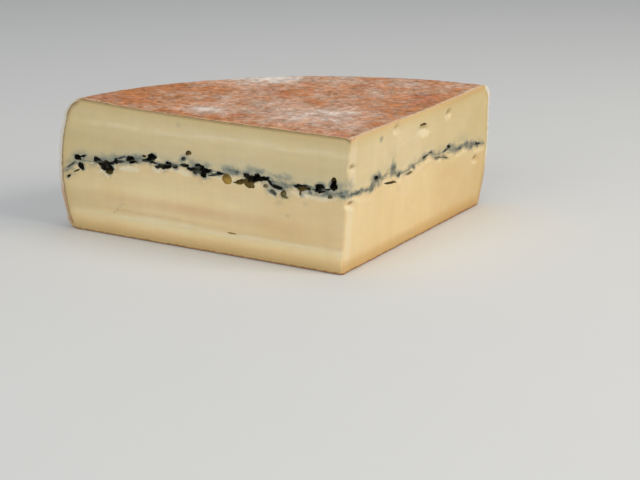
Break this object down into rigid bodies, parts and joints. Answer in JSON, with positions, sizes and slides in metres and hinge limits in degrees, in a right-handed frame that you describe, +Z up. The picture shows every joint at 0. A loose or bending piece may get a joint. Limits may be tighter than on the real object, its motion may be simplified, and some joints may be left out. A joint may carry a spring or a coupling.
{
  "type": "morbier cheese quarter",
  "caption": "Quarter of a flat cheese wheel with two cut faces, a thin rind and a dark wavy ash layer strung with small holes.",
  "frame": {"origin": "middle of the bounding box, on the flat base that the quarter rests on", "axes": "+Z up; +Y from the point of the quarter towards the rind, halfway between the two cuts; +X to the right, seen from the point"},
  "size_m": [0.2552, 0.1812, 0.0742],
  "materials": {
    "cheese": "satin pale straw paste on the cuts, matt orange-pink rind with a whitish bloom",
    "ash": "matt blue-grey to black ash"
  },
  "bodies": {
    "root": {"cheese_body": "cheese", "ash_layer": "ash"}
  },
  "joints": []
}
